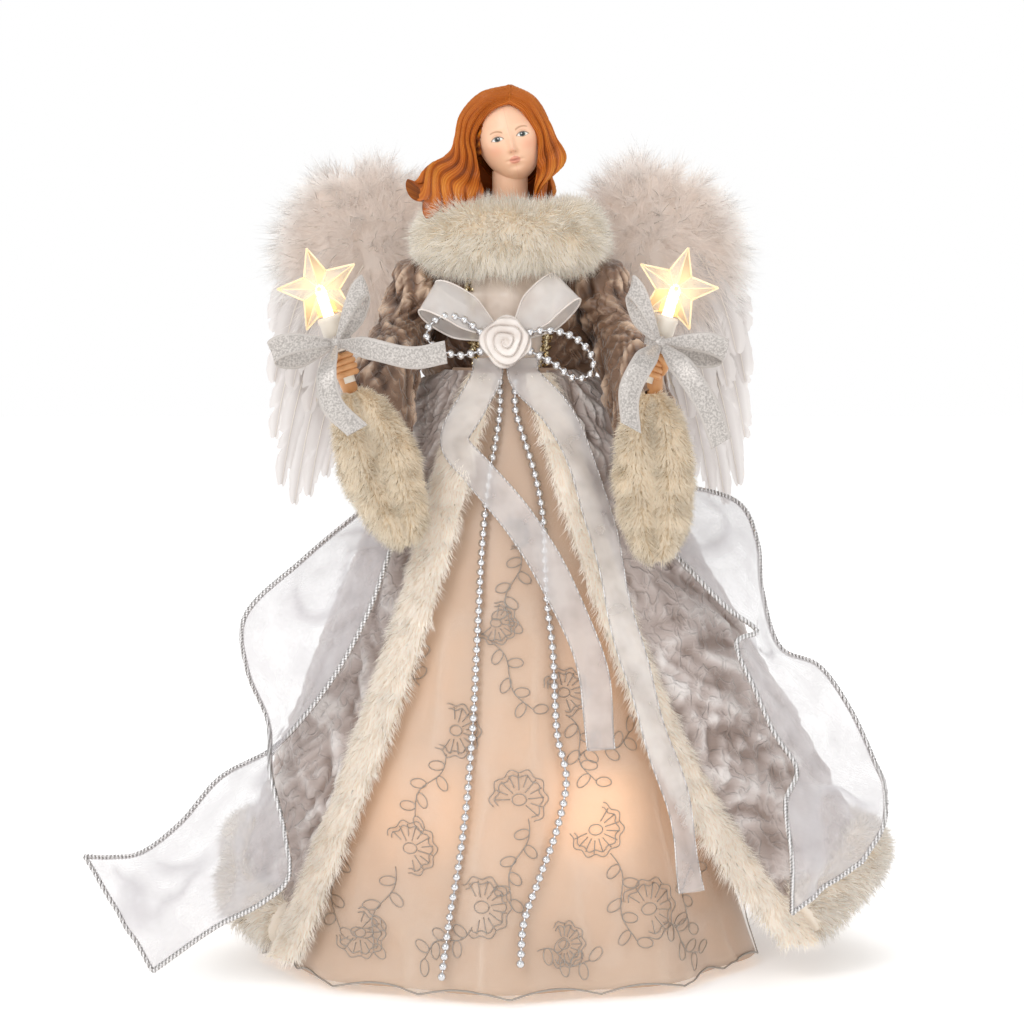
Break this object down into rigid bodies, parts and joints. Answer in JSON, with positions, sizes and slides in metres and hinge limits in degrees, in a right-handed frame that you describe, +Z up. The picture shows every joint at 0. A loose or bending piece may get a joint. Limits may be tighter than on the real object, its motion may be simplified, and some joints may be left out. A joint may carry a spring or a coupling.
{
  "type": "angel tree topper",
  "caption": "Lighted angel figure on a hollow cone that slips over a tree's leader, with wired arms holding star lamps, feather wings, and a fur-trimmed robe over a gown.",
  "frame": {"origin": "centre of the cone's open mouth, in the plane of its rim", "axes": "+Z up along the cone, the angel faces -Y, and the side called left is -X, the viewer's left"},
  "size_m": [0.3621, 0.2586, 0.3937],
  "materials": {
    "cone_card": "plain white-lined board",
    "lamp": "clear mini lamp in a white holder",
    "wire": "insulated lamp wire",
    "torso": "moulded body form",
    "satin": "white satin ribbon and cloth",
    "robe": "crushed taupe taffeta",
    "skin": "painted resin, satin",
    "hair": "painted moulded resin",
    "fur": "short ivory plush",
    "gown": "cream satin lit from inside",
    "organza": "sheer white organza",
    "bead": "silver plated plastic beads on thread",
    "silver_ribbon": "silver metallic ribbon",
    "arm_wire": "annealed armature wire",
    "holder": "white moulded lamp holder",
    "bulb": "clear mini bulb",
    "star": "clear moulded plastic",
    "wing_card": "white board with a wire stem",
    "feather": "white feathers and marabou down"
  },
  "bodies": {
    "gown": {"cone_shell": "cone_card", "lamp_1": "lamp", "lamp_2": "lamp", "lamp_3": "lamp", "lamp_4": "lamp", "lamp_5": "lamp", "lamp_6": "lamp", "lamp_7": "lamp", "lamp_8": "lamp", "lamp_wire": "wire", "torso_form": "torso", "bodice_front": "satin", "robe_bodice": "robe", "wing_patch": "satin", "bust_head": "skin", "hair": "hair", "fur_collar": "fur", "gown_lining": "gown", "gown_overlay": "organza", "robe_skirt": "robe", "front_fur_left": "fur", "front_fur_right": "fur", "hem_fur": "fur", "bow_knot": "satin", "bow_loop_left": "satin", "bow_loop_right": "satin", "bow_tail_left": "satin", "bow_tail_right": "satin", "rosette": "satin", "bead_loop_left": "bead", "bead_loop_right": "bead", "bead_strand_left": "bead", "bead_strand_right": "bead", "organza_ribbon_left": "organza", "organza_ribbon_right": "organza"},
    "arm_left": {"sleeve_left": "robe", "arm_wire_left": "arm_wire", "hand_left": "skin", "cuff_left": "fur", "lamp_holder_left": "holder", "bulb_left": "bulb", "wrist_bow_left": "silver_ribbon"},
    "arm_right": {"sleeve_right": "robe", "arm_wire_right": "arm_wire", "hand_right": "skin", "cuff_right": "fur", "lamp_holder_right": "holder", "bulb_right": "bulb", "wrist_bow_right": "silver_ribbon"},
    "star_cover_left": {"star_left": "star"},
    "star_cover_right": {"star_right": "star"},
    "wing_left": {"wing_core_left": "wing_card", "wing_feathers_left": "feather", "wing_down_left": "feather"},
    "wing_right": {"wing_core_right": "wing_card", "wing_feathers_right": "feather", "wing_down_right": "feather"}
  },
  "joints": [
    {"name": "arm_left_raise", "type": "hinge", "parent": "gown", "child": "arm_left", "pos_m": [-0.038, 0.002, 0.3044], "axis": [-1, 0, 0], "range_deg": [-2, 20]},
    {"name": "arm_right_raise", "type": "hinge", "parent": "gown", "child": "arm_right", "pos_m": [0.038, 0.002, 0.3044], "axis": [-1, 0, 0], "range_deg": [-2, 20]},
    {"name": "star_left_pull", "type": "slide", "parent": "arm_left", "child": "star_cover_left", "axis": [-0.309, 0, 0.9511], "range_m": [0, 0.016]},
    {"name": "star_right_pull", "type": "slide", "parent": "arm_right", "child": "star_cover_right", "axis": [0.2924, 0, 0.9563], "range_m": [0, 0.016]},
    {"name": "wing_left_swing", "type": "hinge", "parent": "gown", "child": "wing_left", "pos_m": [-0.01, 0.02835, 0.292], "axis": [0, 0, -1], "range_deg": [-6, 20]},
    {"name": "wing_right_swing", "type": "hinge", "parent": "gown", "child": "wing_right", "pos_m": [0.01, 0.02835, 0.292], "axis": [0, 0, 1], "range_deg": [-6, 20]}
  ]
}
